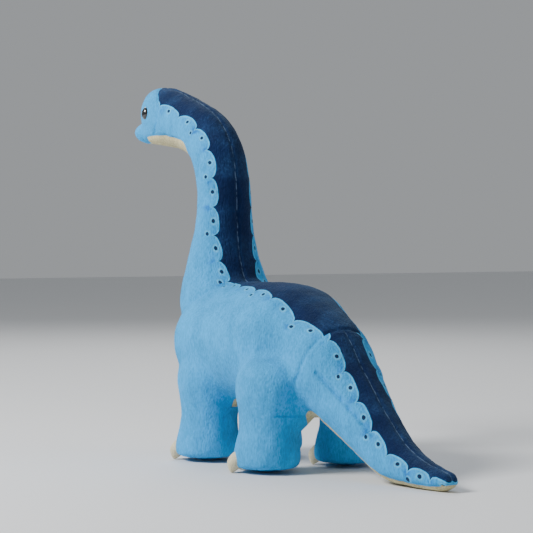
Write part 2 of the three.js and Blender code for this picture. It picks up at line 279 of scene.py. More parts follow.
# %% Join them into one skin
def new_object(name, points, faces):
    mesh = bpy.data.meshes.new(name)
    mesh.from_pydata([tuple(p) for p in points], [], faces)
    mesh.update()
    made = bpy.data.objects.new(name, mesh)
    bpy.context.scene.collection.objects.link(made)
    return made


def joined(parts):
    points, faces, start = [], [], 0
    for part_points, part_faces in parts:
        points.append(part_points)
        faces += [tuple(i + start for i in face) for face in part_faces]
        start += len(part_points)
    return np.vstack(points), faces


def apply_modifiers(piece):
    graph = bpy.context.evaluated_depsgraph_get()
    mesh = bpy.data.meshes.new_from_object(piece.evaluated_get(graph))
    piece.modifiers.clear()
    piece.data = mesh


def subdivide(piece):
    finer = piece.modifiers.new("finer", "SUBSURF")
    finer.levels = 1
    finer.render_levels = 1
    apply_modifiers(piece)


def points_of(piece):
    flat = np.empty(len(piece.data.vertices) * 3, np.float32)
    piece.data.vertices.foreach_get("co", flat)
    return flat.reshape(-1, 3).astype(float)


def set_points(piece, points):
    piece.data.vertices.foreach_set("co", np.asarray(points, np.float32).ravel())
    piece.data.update()


VOXEL = 3.2 * MM
JOIN_SMOOTHING = 7
skin = new_object("skin", *joined(body_parts))
remesh = skin.modifiers.new("one skin", "REMESH")
remesh.mode = "VOXEL"
remesh.voxel_size = VOXEL
smooth = skin.modifiers.new("soft joins", "SMOOTH")
smooth.factor = 0.5
smooth.iterations = JOIN_SMOOTHING
apply_modifiers(skin)
print("skin points:", len(skin.data.vertices))

# %% [markdown]
# ## Where the seams run
# Every seam is written as a signed distance: below zero on one side, above it on the other, and 1, which is
# far off, where the seam doesn't run. The same functions pin the cloth, cut the panels and press the
# stitching in, so that the three always agree.

# %% The line along the middle of the toy
# how many fine rows at the start of each spine lie inside the other part
NECK_BURIED, BODY_BURIED = 30, 20
CHUNK = 20000
neck_fine, neck_across = spine_of(NECK_AND_HEAD)
body_fine, body_across = spine_of(BODY_AND_TAIL)
MIDDLE = np.vstack([
    np.c_[neck_fine, neck_across][NECK_BURIED:][::-1],
    np.c_[body_fine, -body_across][BODY_BURIED:],
])


def nearest_on(line, points):
    """For each point, the nearest row of the line by y and z."""
    found = np.empty(len(points), int)
    for start in range(0, len(points), CHUNK):
        part = points[start:start + CHUNK, 1:]
        gap = ((part[:, None, :] - line[None, :, :2]) ** 2).sum(2)
        found[start:start + CHUNK] = gap.argmin(1)
    return found


def above_middle(points):
    """Height over the middle line towards the back, and the half width there."""
    rows = MIDDLE[nearest_on(MIDDLE, points)]
    return ((points[:, 1:] - rows[:, :2]) * rows[:, 4:6]).sum(1), rows[:, 2] / 2


print("middle line rows:", len(MIDDLE))

# %% Seam planes and regions
NECK_SEAM = (at(neck_base, 0, 15.5, 4), np.array([0, -0.482, 0.876]))
NECK_RING = [(-70, -36), (-45, -29), (-11, -18), (15.5, 4), (40, 24)]
HIP_SEAM = (at(rump, 0, 9.6, 6), np.array([0, 0.953, -0.302]))
NAPE_SEAM = (at(nape, 0, 4, -17), np.array([0, -0.29, 0.957]))
TIP_SEAM = (at(tail_middle, 0, -9, 7), np.array([0, 0.785, -0.619]))
RING_SLOPE = 0.8
NECK_BACK = 45 * MM
TIP_START = 15 * MM
LEG_TOP = -13 * MM
LEG_REACH = np.array([27, 31]) * MM
LEG_ROUND = 29 * MM
SOLE = 2.2 * MM


def past(plane, points):
    return (points - plane[0]) @ plane[1]


def beside_leg(leg, points):
    """Below 1 inside the upright oval that holds a leg."""
    offset = (points[:, :2] - hip[leg][:2]) / LEG_REACH
    return (offset**2).sum(1)


def in_leg(leg, points):
    return (beside_leg(leg, points) < 1) & (points[:, 2] < hip[leg][2] + LEG_TOP)


def any_leg(points):
    return np.any([in_leg(leg, points) for leg in LEGS], axis=0)


def beside_any_leg(points):
    return np.any([beside_leg(leg, points) < 1 for leg in LEGS], axis=0)


def over_ring(points):
    """Height over the ring where the neck is sewn to the body."""
    ring_y, ring_z = (np.array(NECK_RING) * MM).T
    ring_height = np.interp(points[:, 1] - neck_base[1], ring_y, ring_z)
    return (points[:, 2] - neck_base[2] - ring_height) * RING_SLOPE


def on_neck(points):
    return (over_ring(points) > 0) & (points[:, 1] < neck_base[1] + NECK_BACK)


def on_head(points):
    return (past(NAPE_SEAM, points) > 0) & (points[:, 2] > nape[2] - 40 * MM)


def on_tail(points):
    return (past(HIP_SEAM, points) > 0) & (points[:, 1] > rump[1] - 15 * MM) & ~any_leg(points)


def on_tip(points):
    return (past(TIP_SEAM, points) > 0) & (points[:, 1] > rump[1] + TIP_START)


JAW_LINE = [(-106, 11), (-97, 14), (-89, 18.5), (-80, 19), (-56, 18.5), (-28, 14), (-20, 8)]
THROAT, BELLY, UNDERTAIL = 11 * MM, 27 * MM, 13 * MM


def cream_seam(points):
    """Below zero on the jaw, throat, belly and under the tail."""
    over, half = above_middle(points)
    y, z = points[:, 1], points[:, 2]
    line_y, line_z = (np.array(JAW_LINE) * MM).T
    jaw = z - nape[2] - np.interp(y - nape[1], line_y, line_z)
    jaw = np.where((y < nape[1] - 20 * MM) & (z > nape[2] - 10 * MM), jaw, 1)
    places = [nape[1] - 15 * MM, neck_base[1], hips_middle[1] - 60 * MM, hips_middle[1]]
    places += [rump[1] + 10 * MM, tail_middle[1]]
    widths = [THROAT, THROAT, BELLY * 0.7, BELLY, BELLY * 0.8, UNDERTAIL]
    strip = np.abs(points[:, 0]) - np.minimum(np.interp(y, places, widths), half * 0.7)
    strip = np.where((over < -half * 0.25) & (z < nape[2] + 14 * MM), strip, 1)
    chest = (y < neck_base[1] - 22 * MM) & (z < neck_base[2] + 12 * MM) & (z > hips_middle[2] - 14 * MM)
    strip = np.where(chest, np.abs(points[:, 0]) - THROAT, strip)
    return np.where(any_leg(points), 1, np.minimum(jaw, strip))


FACE_SEAM_Y, FACE_SEAM_Z, FACE_SEAM_CURVE = -61.5 * MM, 37 * MM, 38


def face_seam(points):
    """Below zero on the face: the seam rings the head behind the eyes."""
    height = points[:, 2] - (nape[2] + FACE_SEAM_Z)
    return points[:, 1] - (nape[1] + FACE_SEAM_Y - FACE_SEAM_CURVE * height**2)


def back_seam(points):
    """The middle seam: down the head and neck, and along the tail."""
    over, _ = above_middle(points)
    seamed = on_neck(points) | on_head(points) | on_tail(points)
    return np.where((over > 0) & seamed & (face_seam(points) > 0), points[:, 0], 1)


def dart(points):
    """A short dart down each side of the tail."""
    start, end = at(rump, 0, 22, -1), at(rump, 0, 72, -42)
    along = (end - start)[1:]
    length = np.linalg.norm(along)
    along = along / length
    offset = points[:, 1:] - start[1:]
    s = offset @ along
    side = offset @ np.array([along[1], -along[0]])
    beyond = np.maximum(0, np.maximum(-s, s - length))
    return np.where(np.abs(points[:, 0]) > 12 * MM, np.hypot(side, beyond), 1)


def leg_seams(points):
    """Where a leg's outer and inner panels meet, front and back."""
    found = np.ones(len(points))
    for leg in LEGS:
        found = np.where(in_leg(leg, points), points[:, 0] - hip[leg][0], found)
    return found


def ring(plane, region):
    return lambda points: np.where(region(points), past(plane, points), 1)


def neck_ring(points):
    return np.where(points[:, 1] < neck_base[1] + NECK_BACK, over_ring(points), 1)


hip_ring = ring(HIP_SEAM, lambda p: (np.abs(p[:, 1] - rump[1]) < 40 * MM) & ~any_leg(p))
sole_seam = ring((np.array([0, 0, SOLE]), np.array([0, 0, 1])), beside_any_leg)


def face_ring(points):
    return np.where(on_head(points) & (cream_seam(points) > 0), face_seam(points), 1)


# name: the seam's distance, then how deep and how wide it is pressed in, in millimetres
SEAMS = {
    "back": (back_seam, 0.9, 1.6),
    "cream": (cream_seam, 0.8, 1.6),
    "neck ring": (neck_ring, 0.7, 1.8),
    "hip ring": (hip_ring, 0.9, 1.8),
    "face": (face_ring, 0.9, 1.6),
    "dart": (dart, 2.0, 1.6),
    "leg": (leg_seams, 0.35, 1.5),
    "sole": (sole_seam, 0.9, 1.5),
}
print("seams:", ", ".join(SEAMS))

# %% [markdown]
# ## Inflating the cloth
# Fibre filling pushes the cloth out everywhere but at the seams, which hold it back. Blender's cloth does the
# same with an inside pressure: the seam points are pinned, gravity is off, and the movement is capped, so
# the panels puff up between their seams and crease where the legs and the neck join the body.

# %% Simulate
PUFF_PRESSURE = 4
PUFF_CAP = 3.6 * MM
PIN_WIDTH = 1.7 * MM
PUFF_FRAMES = 20
PUFF_SMOOTHING = 4
FLOOR_GAP = 0.15 * MM


def inflate(piece):
    before = points_of(piece)
    close = np.min([np.abs(distance(before)) for distance, _, _ in SEAMS.values()], axis=0)
    pins = piece.vertex_groups.new(name="seam pins")
    pins.add([int(i) for i in np.nonzero(close < PIN_WIDTH)[0]], 1.0, "REPLACE")
    cloth = piece.modifiers.new("cloth", "CLOTH")
    cloth.settings.use_pressure = True
    cloth.settings.uniform_pressure_force = PUFF_PRESSURE
    cloth.settings.quality = 4
    cloth.settings.vertex_group_mass = "seam pins"
    cloth.settings.effector_weights.gravity = 0
    cloth.collision_settings.use_collision = False
    scene = bpy.context.scene
    scene.frame_start, scene.frame_end = 1, PUFF_FRAMES
    for number in range(1, PUFF_FRAMES + 1):
        scene.frame_set(number)
    apply_modifiers(piece)
    scene.frame_set(1)
    after = points_of(piece)
    step = after - before
    length = np.linalg.norm(step, axis=1)[:, None]
    kept = PUFF_CAP * np.tanh(length / PUFF_CAP)
    set_points(piece, before + step / np.maximum(length, 1e-9) * kept)
    settle = piece.modifiers.new("settled cloth", "SMOOTH")
    settle.factor = 0.5
    settle.iterations = PUFF_SMOOTHING
    apply_modifiers(piece)
    print("cloth moved %.1f mm on average" % (kept.mean() / MM))


inflate(skin)

subdivide(skin)
settled = points_of(skin)
settled[:, 2] = np.maximum(settled[:, 2], FLOOR_GAP)
set_points(skin, settled)
print("skin points:", len(skin.data.vertices))

# %% [markdown]
# ## Cutting the panels
# To cut along a curved seam, each mesh edge that crosses it is split just there, and the new points are
# joined across the faces. A crossing that is very near a point moves the point instead, which leaves no
# slivers. The faces on the two sides can then become separate panels with one clean edge.

# %% The cutter
NEAR_END = 0.18
NEAR_SEAM = 8 * MM


def cut_along(mesh, distance):
    """Splits the mesh where the distance is zero, and returns how many points lie there."""
    points = np.array([v.co for v in mesh.verts])
    value = distance(points)
    mesh.verts.ensure_lookup_table()
    pairs = np.array([(e.verts[0].index, e.verts[1].index) for e in mesh.edges])
    on_line = set()

    def crossings():
        a, b = value[pairs[:, 0]], value[pairs[:, 1]]
        near = (np.abs(a) < NEAR_SEAM) & (np.abs(b) < NEAR_SEAM)
        chosen = np.nonzero((a * b < 0) & near)[0]
        return chosen, a[chosen] / (a[chosen] - b[chosen])

    chosen, share = crossings()
    for index, t in zip(chosen, share):
        if NEAR_END < t < 1 - NEAR_END:
            continue
        end, other = pairs[index] if t < 0.5 else pairs[index][::-1]
        if value[end] == 0:
            continue
        amount = t if t < 0.5 else 1 - t
        mesh.verts[end].co = mesh.verts[end].co.lerp(mesh.verts[other].co, amount)
        value[end] = 0
        on_line.add(mesh.verts[end])
    chosen, share = crossings()
    mesh.edges.ensure_lookup_table()
    edges = [(mesh.edges[i], mesh.verts[pairs[i][0]], float(t)) for i, t in zip(chosen, share)]
    for edge, start, t in edges:
        on_line.add(bmesh.utils.edge_split(edge, start, t)[1])
    if on_line:
        bmesh.ops.connect_verts(mesh, verts=list(on_line))
    mesh.verts.index_update()
    mesh.edges.index_update()
    return len(on_line)


def leg_top(leg):
    def distance(points):
        return np.where(beside_leg(leg, points) < 1.25, points[:, 2] - hip[leg][2] - LEG_TOP, 1)
    return distance


def leg_side(leg):
    def distance(points):
        low = points[:, 2] < hip[leg][2] + LEG_TOP + 0.01 * MM
        return np.where(low, (np.sqrt(beside_leg(leg, points)) - 1) * LEG_ROUND, 1)
    return distance


CUTS = [
    ("middle", lambda p: p[:, 0]),
    ("cream", cream_seam),
    ("neck ring", neck_ring),
    ("hip ring", hip_ring),
    ("nape", ring(NAPE_SEAM, lambda p: p[:, 2] > nape[2] - 60 * MM)),
    ("tail tip", ring(TIP_SEAM, lambda p: p[:, 1] > rump[1] + TIP_START)),
    ("face", lambda p: np.where(on_head(p), face_seam(p), 1)),
    ("leg sides", leg_seams),
    ("soles", lambda p: np.where(any_leg(p), p[:, 2] - SOLE, 1)),
]
CUTS += [(leg + " top", leg_top(leg)) for leg in LEGS]
CUTS += [(leg + " side", leg_side(leg)) for leg in LEGS]

skin_mesh = bmesh.new()
skin_mesh.from_mesh(skin.data)
for name, distance in CUTS:
    print("cut %-16s %5d points" % (name, cut_along(skin_mesh, distance)))
skin_mesh.to_mesh(skin.data)
skin_mesh.free()

# %% [markdown]
# Each face now lies wholly in one panel. Its centre says which, and the number is kept on the face, so that
# it survives one more subdivision.

# %% Name the panels
PANELS = ["belly_panel", "torso_left", "torso_right"]
PANELS += ["throat_strip", "neck_left", "neck_right", "lower_jaw", "face", "head_left", "head_right"]
PANELS += ["tail_underside", "tail_left", "tail_right"]
PANELS += ["tail_tip_underside", "tail_tip_left", "tail_tip_right"]
for leg in LEGS:
    PANELS += [leg + "_leg_outer", leg + "_leg_inner", leg + "_leg_sole"]
PANEL_NUMBER = {name: number for number, name in enumerate(PANELS)}


def panel_numbers(points):
    """The number of the panel that each point lies in; a later line wins over an earlier one."""
    cream = cream_seam(points) < 0
    left = points[:, 0] > 0
    number = np.zeros(len(points), int)

    def put(where, strip, left_name, right_name):
        sides = np.where(left, PANEL_NUMBER[left_name], PANEL_NUMBER[right_name])
        return np.where(where, np.where(cream, PANEL_NUMBER[strip], sides), number)

    number = put(True, "belly_panel", "torso_left", "torso_right")
    number = put(on_neck(points), "throat_strip", "neck_left", "neck_right")
    number = put(on_head(points), "lower_jaw", "head_left", "head_right")
    on_face = on_head(points) & ~cream & (face_seam(points) < 0)
    number = np.where(on_face, PANEL_NUMBER["face"], number)
    number = put(on_tail(points), "tail_underside", "tail_left", "tail_right")
    number = put(on_tip(points), "tail_tip_underside", "tail_tip_left", "tail_tip_right")
    for leg in LEGS:
        here = in_leg(leg, points)
        outer = (points[:, 0] - hip[leg][0]) * np.sign(hip[leg][0]) > 0
        sides = np.where(outer, PANEL_NUMBER[leg + "_leg_outer"], PANEL_NUMBER[leg + "_leg_inner"])
        number = np.where(here, sides, number)
        number = np.where(here & (points[:, 2] < SOLE), PANEL_NUMBER[leg + "_leg_sole"], number)
    return number


def face_centres(mesh):
    flat = np.empty(len(mesh.polygons) * 3, np.float32)
    mesh.polygons.foreach_get("center", flat)
    return flat.reshape(-1, 3).astype(float)


label = skin.data.attributes.new("panel", "INT", "FACE")
label.data.foreach_set("value", panel_numbers(face_centres(skin.data)).astype(np.int32))
subdivide(skin)
print("fine skin: %d faces in %d panels" % (len(skin.data.polygons), len(PANELS)))

# %% [markdown]
# ## Stitching and nap
# A seam in plush is a soft valley with small puckers where the thread pulls the pile in. It is pressed into
# the mesh itself. The pile also stands in little tufts, which lift the surface by a fraction of a millimetre.


# %% Press the seams
def ripple(points, wave, seed):
    """A smooth pattern between -1 and 1, from three slanted waves."""
    total = np.zeros(len(points))
    for k in range(3):
        direction = np.array([
            math.sin(seed + 2.1 * k), math.cos(1.7 * seed + k), math.sin(0.6 * seed + 4 * k),
        ])
        total += np.sin(points @ direction * (2 * math.pi / wave) + seed * (k + 1))
    return total / 3


def normals_of(mesh):
    flat = np.empty(len(mesh.vertices) * 3, np.float32)
    mesh.vertex_normals.foreach_get("vector", flat)
    return flat.reshape(-1, 3).astype(float)


STANDING = 1.2 * MM
rest = points_of(skin)
normal = normals_of(skin.data)
press = np.zeros(len(rest))
for distance, depth, width in SEAMS.values():
    gap = np.abs(distance(rest)) / (width * MM)
    pucker = 1 + 0.35 * ripple(rest, 9 * MM, depth * 7) * np.exp(-((gap / 2.5) ** 2))
    press = np.maximum(press, depth * MM * np.exp(-(gap**2)) * pucker)
    bulge = 0.25 * depth * MM * np.exp(-((gap - 2.6) ** 2))
    press -= bulge * (1 + ripple(rest, 14 * MM, depth * 3)) / 2
tuft = 0.10 * MM * ripple(rest, 3.1 * MM, 2.0) + 0.22 * MM * ripple(rest, 17 * MM, 5.0)
shift = (tuft - press)[:, None] * normal
shift[rest[:, 2] < STANDING] = 0
rest = rest + shift
set_points(skin, rest)
print("deepest seam %.1f mm" % (press.max() / MM))

# %% [markdown]
# ## The printed back
# The navy back is printed on the cloth: from each seam end to end it has scallops, each a rounded lobe of
# sky blue, with dots in the lobes. Every point of the cloth gets three numbers: which scallop it is in,
# how long that scallop is, and how far it lies outside the line through the lobes' tips. The shader turns
# them into crisp edges, which stay sharp at any distance and bend with the cloth.

# %% Scallop numbers
# rows: distance along the back of the first scallop, its length, change from each to the next, in millimetres
NECK_SCALLOPS = (10.5, 17.6, 2.2)
BODY_SCALLOPS = (3, 24, 2.7)
TAIL_SCALLOPS = (-7.4, 29.5, -1.7)
# half width of the navy at its narrowest, against the distance along each stretch
NECK_NAVY = [(0, 10), (20, 13.5), (45, 15.5), (110, 16), (150, 18), (185, 20), (230, 19)]
BODY_NAVY = [(0, 10), (25, 17), (75, 25), (115, 24), (150, 15)]
TAIL_NAVY = [(0, 12.5), (20, 11.5), (50, 11), (80, 12.5), (120, 14), (160, 9)]
LINE_SMOOTHING = 30
FLAT = 0.3


def with_length(line):
    """The line in even 1 mm steps, smoothed, with the length so far."""
    steps = np.linalg.norm(np.diff(line, axis=0), axis=1)
    lengths = np.r_[0, np.cumsum(steps)]
    places = np.arange(0, lengths[-1], MM)
    even = np.stack([np.interp(places, lengths, line[:, k]) for k in range(2)], axis=1)
    for _ in range(LINE_SMOOTHING):
        even[1:-1] = (even[:-2] + 2 * even[1:-1] + even[2:]) / 4
    return np.c_[even, places]


neck_line = neck_fine[:, :2] + neck_across * neck_fine[:, 3:4] / 2
neck_line = neck_line[np.argmax(neck_line[:, 1] > neck_base[2] + 10 * MM):]
back_line = body_fine[:, :2] - body_across * body_fine[:, 3:4] / 2
on_body = (back_line[:, 0] > neck_base[1] + 22 * MM) & (back_line[:, 0] < rump[1] + 30 * MM)
body_line = back_line[on_body]
tail_line = back_line[back_line[:, 0] > rump[1] + 6 * MM]
BACKS = {
    "neck": (with_length(neck_line), NECK_SCALLOPS, NECK_NAVY),
    "body": (with_length(body_line), BODY_SCALLOPS, BODY_NAVY),
    "tail": (with_length(tail_line), TAIL_SCALLOPS, TAIL_NAVY),
}


def print_numbers(points, stretch):
    """Scallop number, scallop length and distance outside the lobes' tips; lengths in millimetres."""
    line, (first, length, change), navy = BACKS[stretch]
    index = nearest_on(line, points)
    near = line[index]
    run = np.gradient(line[:, :2], axis=0)
    run /= np.linalg.norm(run, axis=1)[:, None]
    offset = points[:, 1:] - near[:, :2]
    forward = (offset * run[index]).sum(1)
    s = (near[:, 2] + forward) / MM
    deep = np.linalg.norm(offset - forward[:, None] * run[index], axis=1) / MM
    wide = np.abs(points[:, 0]) / MM
    turn = 2 * np.arctan2(deep, wide)
    radius = (wide**2 + deep**2) / (2 * np.maximum(deep, FLAT))
    # the way over the round back, and the navy closes in where it starts
    across = np.where(deep > FLAT, turn * radius, wide) + 1.5 * np.maximum(-s - 4, 0)
    base = length - change / 2
    count = (-base + np.sqrt(np.maximum(base**2 + 2 * change * (s - first), 1))) / change
    navy_y, navy_x = np.array(navy).T
    return count, base + change * count, across - np.interp(s, navy_y, navy_x)


for name, (line, _, _) in BACKS.items():
    print("%s back: %.0f mm" % (name, line[-1, 2] / MM))

# %% [markdown]
# ## Cloth and plastic
# Short-pile plush looks soft because its fibres lean over: streaks of light and shade run along the nap, and
# the edges glow. The pile is a shader group: it takes a cloth colour and returns it with those streaks of
# light and shade painted in, with tufts and slight patches, a roughness and a height for the bump. The glow
# is sheen, set in each material.

# %% Node helpers
def node(tree, kind, **settings):
    made = tree.nodes.new(kind)
    for key, value in settings.items():
        setattr(made, key, value)
    return made


def wire(tree, source, target):
    tree.links.new(source, target)


def value_of(tree, operation, a, b=None, c=None, clamp=False):
    """A Math node: each of a, b and c is a number or a socket."""
    made = node(tree, "ShaderNodeMath", operation=operation, use_clamp=clamp)
    for socket, given in zip(made.inputs, (a, b, c)):
        if given is None:
            continue
        if isinstance(given, (int, float)):
            socket.default_value = given
        else:
            wire(tree, given, socket)
    return made.outputs[0]


def mixed(tree, share, a, b):
    """A colour Mix node: share, a and b are each a value or a socket."""
    made = node(tree, "ShaderNodeMix", data_type="RGBA")
    for socket, given in ((made.inputs[0], share), (made.inputs[6], a), (made.inputs[7], b)):
        if isinstance(given, (int, float, tuple)):
            socket.default_value = given
        else:
            wire(tree, given, socket)
    return made.outputs[2]


def attribute(tree, name):
    return node(tree, "ShaderNodeAttribute", attribute_name=name)


def noise(tree, vector, scale, detail=2.0, rough=0.5):
    made = node(tree, "ShaderNodeTexNoise")
    made.inputs["Scale"].default_value = scale
    made.inputs["Detail"].default_value = detail
    made.inputs["Roughness"].default_value = rough
    wire(tree, vector, made.inputs["Vector"])
    return made.outputs["Fac"]


def ramp(tree, source, low, high, to_low=0.0, to_high=1.0):
    made = node(tree, "ShaderNodeMapRange", interpolation_type="SMOOTHSTEP")
    wire(tree, source, made.inputs["Value"])
    settings = {"From Min": low, "From Max": high, "To Min": to_low, "To Max": to_high}
    for name, given in settings.items():
        made.inputs[name].default_value = given
    return made.outputs["Result"]


def group_with(name, inputs, outputs):
    tree = bpy.data.node_groups.new(name, "ShaderNodeTree")
    for socket, kind, default in inputs:
        made = tree.interface.new_socket(name=socket, in_out="INPUT", socket_type=kind)
        made.default_value = default
    for socket, kind in outputs:
        tree.interface.new_socket(name=socket, in_out="OUTPUT", socket_type=kind)
    return tree, node(tree, "NodeGroupInput"), node(tree, "NodeGroupOutput")


print("node helpers are ready")

# %% The pile group
pile, pile_in, pile_out = group_with(
    "Short pile",
    [
        ("Cloth", "NodeSocketColor", (0.5, 0.5, 0.5, 1)),
        ("Streaks", "NodeSocketFloat", 0.3),
        ("Patches", "NodeSocketFloat", 0.15),
    ],
    [("Color", "NodeSocketColor"), ("Roughness", "NodeSocketFloat"), ("Height", "NodeSocketFloat")],
)
rest_place = attribute(pile, "rest").outputs["Vector"]
lean = node(pile, "ShaderNodeMapping")
lean.inputs["Rotation"].default_value = (math.radians(-52), 0, 0)
lean.inputs["Scale"].default_value = (1, 1, 0.34)
wire(pile, rest_place, lean.inputs["Vector"])
streak = noise(pile, lean.outputs["Vector"], 880, 3, 0.65)
swirl = noise(pile, lean.outputs["Vector"], 150, 2, 0.55)
tufts = node(pile, "ShaderNodeTexVoronoi", feature="SMOOTH_F1")
tufts.inputs["Scale"].default_value = 780
wire(pile, lean.outputs["Vector"], tufts.inputs["Vector"])
patch = noise(pile, rest_place, 42, 2)
# painted light and shade: the streaks along the nap make the cloth colour lighter and darker
fine_streak = ramp(pile, streak, 0.34, 0.68, -1, 1)
broad_streak = ramp(pile, swirl, 0.32, 0.68, -1, 1)
painted_nap_shade = value_of(pile, "MULTIPLY_ADD", broad_streak, 0.45, fine_streak)
painted_nap_shade = value_of(pile, "MULTIPLY", painted_nap_shade, pile_in.outputs["Streaks"])
patchy = ramp(pile, patch, 0.3, 0.7, -1, 1)
patchy = value_of(pile, "MULTIPLY", patchy, pile_in.outputs["Patches"])
# the painted nap shade and the slight patches of tone together set how light the cloth colour is
painted_shade_and_patches = value_of(pile, "ADD", value_of(pile, "ADD", painted_nap_shade, patchy), 1)
shade = node(pile, "ShaderNodeHueSaturation")
wire(pile, painted_shade_and_patches, shade.inputs["Value"])
wire(pile, pile_in.outputs["Cloth"], shade.inputs["Color"])
wire(pile, shade.outputs["Color"], pile_out.inputs["Color"])
wire(pile, ramp(pile, streak, 0.3, 0.7, 0.95, 0.78), pile_out.inputs["Roughness"])
height = value_of(pile, "MULTIPLY_ADD", tufts.outputs["Distance"], -0.5, streak)
wire(pile, value_of(pile, "MULTIPLY_ADD", swirl, 0.8, height), pile_out.inputs["Height"])
print("pile group has %d nodes" % len(pile.nodes))

# %% [markdown]
# The print is a second group. A lobe is half of an ellipse over the scallop's length, a little steeper at its
# far end. Inside it the cloth stays sky blue; outside, and over the back, it is navy with pale mottling in
# bands. A thin pale rim and faint washes of darker blue follow the edge, and the dots have a pale ring.

# %% The print group
LOBE_DEPTH = 6.0
printed, _, print_out = group_with("Scalloped print", [], [("Color", "NodeSocketColor")])
SKY = (0.028, 0.350, 0.740, 1)
SKY_PALE = (0.160, 0.600, 0.880, 1)
SKY_DEEP = (0.012, 0.150, 0.500, 1)
NAVY = (0.0025, 0.0130, 0.060, 1)
NAVY_PALE = (0.016, 0.058, 0.160, 1)
DOT = (0.006, 0.022, 0.070, 1)
place = attribute(printed, "rest").outputs["Vector"]
scallop = attribute(printed, "scallop").outputs["Fac"]
pitch = attribute(printed, "pitch").outputs["Fac"]
outside = attribute(printed, "outside").outputs["Fac"]
wobble = value_of(printed, "MULTIPLY_ADD", noise(printed, place, 130, 2), 1.2, -0.6)
outside = value_of(printed, "ADD", outside, wobble)
share = value_of(printed, "FRACT", scallop)
number = value_of(printed, "FLOOR", scallop)
skew = value_of(printed, "POWER", share, 0.86)
centred = value_of(printed, "MULTIPLY_ADD", skew, 2, -1)
fallen = value_of(printed, "POWER", value_of(printed, "ABSOLUTE", centred), 2.4)
round_top = value_of(printed, "SQRT", value_of(printed, "SUBTRACT", 1, fallen, clamp=True))
reach = value_of(printed, "MULTIPLY_ADD", round_top, -LOBE_DEPTH, LOBE_DEPTH)
edge = value_of(printed, "SUBTRACT", outside, reach)
navy_mask = ramp(printed, edge, -0.25, 0.25, 1, 0)
rim = value_of(printed, "MULTIPLY", ramp(printed, edge, 0.2, 0.6), ramp(printed, edge, 0.8, 1.9, 1, 0))
wash = ramp(printed, noise(printed, place, 95, 3), 0.46, 0.60)
near_cusp = ramp(printed, round_top, 0.95, 0.55)
in_lobe = value_of(printed, "MULTIPLY", ramp(printed, edge, 0.8, 3), ramp(printed, edge, 5, 13, 1, 0))
in_lobe = value_of(printed, "MULTIPLY", in_lobe, value_of(printed, "MULTIPLY_ADD", near_cusp, 0.7, 0.3))
wash = value_of(printed, "MULTIPLY", wash, in_lobe)


def dots(at_share, at_outside, long, wide):
    """Distance from a dot's middle, in its own radii."""
    along = value_of(printed, "MULTIPLY", value_of(printed, "SUBTRACT", share, at_share), pitch)
    along = value_of(printed, "DIVIDE", along, long)
    over = value_of(printed, "DIVIDE", value_of(printed, "SUBTRACT", outside, at_outside), wide)
    squares = [value_of(printed, "MULTIPLY", way, way) for way in (along, over)]
    return value_of(printed, "SQRT", value_of(printed, "ADD", *squares))


main_dot = dots(0.52, 4.8, 1.75, 1.5)
odd = value_of(printed, "ABSOLUTE", value_of(printed, "MODULO", number, 2))
# every second scallop has no low dot: it is pushed far off
every_second = value_of(printed, "MULTIPLY", odd, 100)
low_dot = value_of(printed, "ADD", dots(0.07, 10.0, 1.6, 1.35), every_second)
dot = value_of(printed, "MINIMUM", main_dot, low_dot)
sky_side = mixed(printed, value_of(printed, "MULTIPLY", wash, 0.8), SKY, SKY_DEEP)
sky_side = mixed(printed, value_of(printed, "MULTIPLY", rim, 0.55), sky_side, SKY_PALE)
halo = value_of(printed, "MULTIPLY", ramp(printed, dot, 1.2, 2.3, 1, 0), 0.5)
sky_side = mixed(printed, halo, sky_side, SKY_PALE)
sky_side = mixed(printed, ramp(printed, dot, 0.8, 1.15, 1, 0), sky_side, DOT)
bands = node(printed, "ShaderNodeMapping")
bands.inputs["Scale"].default_value = (0.4, 1, 1)
wire(printed, place, bands.inputs["Vector"])
band = ramp(printed, noise(printed, bands.outputs["Vector"], 52, 2), 0.42, 0.68)
speck = ramp(printed, noise(printed, place, 420, 3, 0.7), 0.42, 0.75)
band = value_of(printed, "MULTIPLY", band, value_of(printed, "MULTIPLY_ADD", speck, 0.75, 0.25))
navy_side = mixed(printed, value_of(printed, "MULTIPLY", band, 0.9), NAVY, NAVY_PALE)
wire(printed, mixed(printed, navy_mask, sky_side, navy_side), print_out.inputs["Color"])
print("print group has %d nodes" % len(printed.nodes))


# %% Materials
BLUE_GLOW = (0.35, 0.7, 1, 1)
THREAD = (0.16, 0.26, 0.42, 1)
THREAD_SHARE = 0.75


